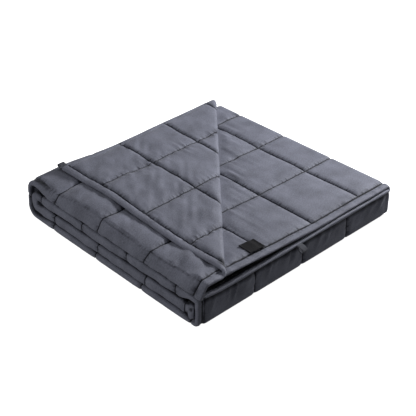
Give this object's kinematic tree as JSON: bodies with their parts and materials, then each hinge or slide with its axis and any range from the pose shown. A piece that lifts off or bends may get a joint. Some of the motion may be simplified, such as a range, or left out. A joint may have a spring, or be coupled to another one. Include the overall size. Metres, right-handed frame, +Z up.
{
  "type": "weighted blanket",
  "caption": "Quilted weighted blanket, folded in thirds and rolled up flat, one corner turned back, with sewn-on tape loops and a blank woven label.",
  "frame": {"origin": "on the surface that the folded blanket rests on, under the middle of its bounding box, the loops included", "axes": "+Z up, +X towards the side where the hems show, -Y towards the smooth fold side of the thirds"},
  "size_m": [0.4952, 0.4996, 0.0992],
  "materials": {
    "slate_cotton": "slate grey cotton percale, a slight sheen, quilted in squares",
    "slate_tape": "slate grey woven cotton tape",
    "black_label": "black damask woven label, blank"
  },
  "bodies": {
    "root": {"blanket": "slate_cotton", "label": "black_label", "loop_corner": "slate_tape", "loop_side": "slate_tape"}
  },
  "joints": []
}
